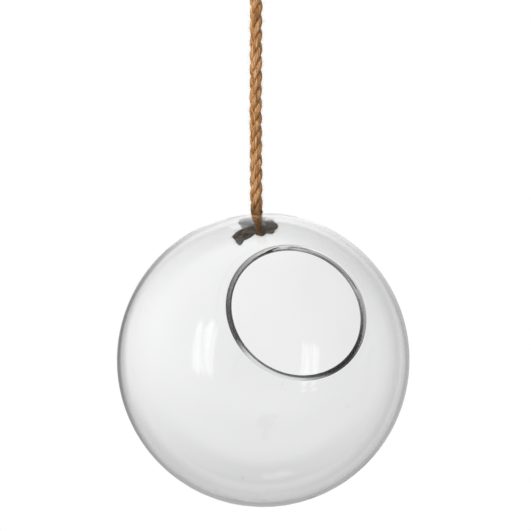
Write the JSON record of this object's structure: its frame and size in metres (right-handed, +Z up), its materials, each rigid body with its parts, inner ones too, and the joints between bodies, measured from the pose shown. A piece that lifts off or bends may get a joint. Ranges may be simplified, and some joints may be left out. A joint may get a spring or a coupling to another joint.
{
  "type": "hanging glass globe vase",
  "caption": "Clear blown-glass globe with a round side mouth, hung from a knotted jute rope; holds cuttings in water.",
  "frame": {"origin": "inside top of the hanging loop, where a hook's bar carries the rope", "axes": "+Z up along the rope; +X to the right as seen in the picture; -Y towards the viewer, which the globe's mouth faces, turned a little to +X and tipped upwards"},
  "size_m": [0.2, 0.2005, 0.4626],
  "materials": {
    "clear_glass": "clear, hand-blown, fire-polished mouth",
    "jute_rope": "natural laid jute, hairy"
  },
  "bodies": {
    "loop": {"hanging_loop": "jute_rope"},
    "upper_knot": {"loop_knot": "jute_rope"},
    "rope": {"hanging_rope": "jute_rope"},
    "lower_knot": {"stopper_knot": "jute_rope", "rope_tail": "jute_rope"},
    "globe": {"glass_globe": "clear_glass"}
  },
  "joints": [
    {"name": "swing_front_back", "type": "hinge", "parent": "loop", "child": "upper_knot", "pos_m": [0, 0, 0], "axis": [1, 0, 0], "range_deg": [-20, 20]},
    {"name": "swing_side_to_side", "type": "hinge", "parent": "upper_knot", "child": "rope", "pos_m": [0, 0, -0.1001], "axis": [0, 1, 0], "range_deg": [-20, 20]},
    {"name": "turn_with_rope", "type": "hinge", "parent": "rope", "child": "lower_knot", "pos_m": [0, 0, -0.2573], "axis": [0, 0, 1], "continuous": true},
    {"name": "lift_up_rope", "type": "slide", "parent": "lower_knot", "child": "globe", "axis": [0, 0, 1], "range_m": [0, 0.14]}
  ]
}
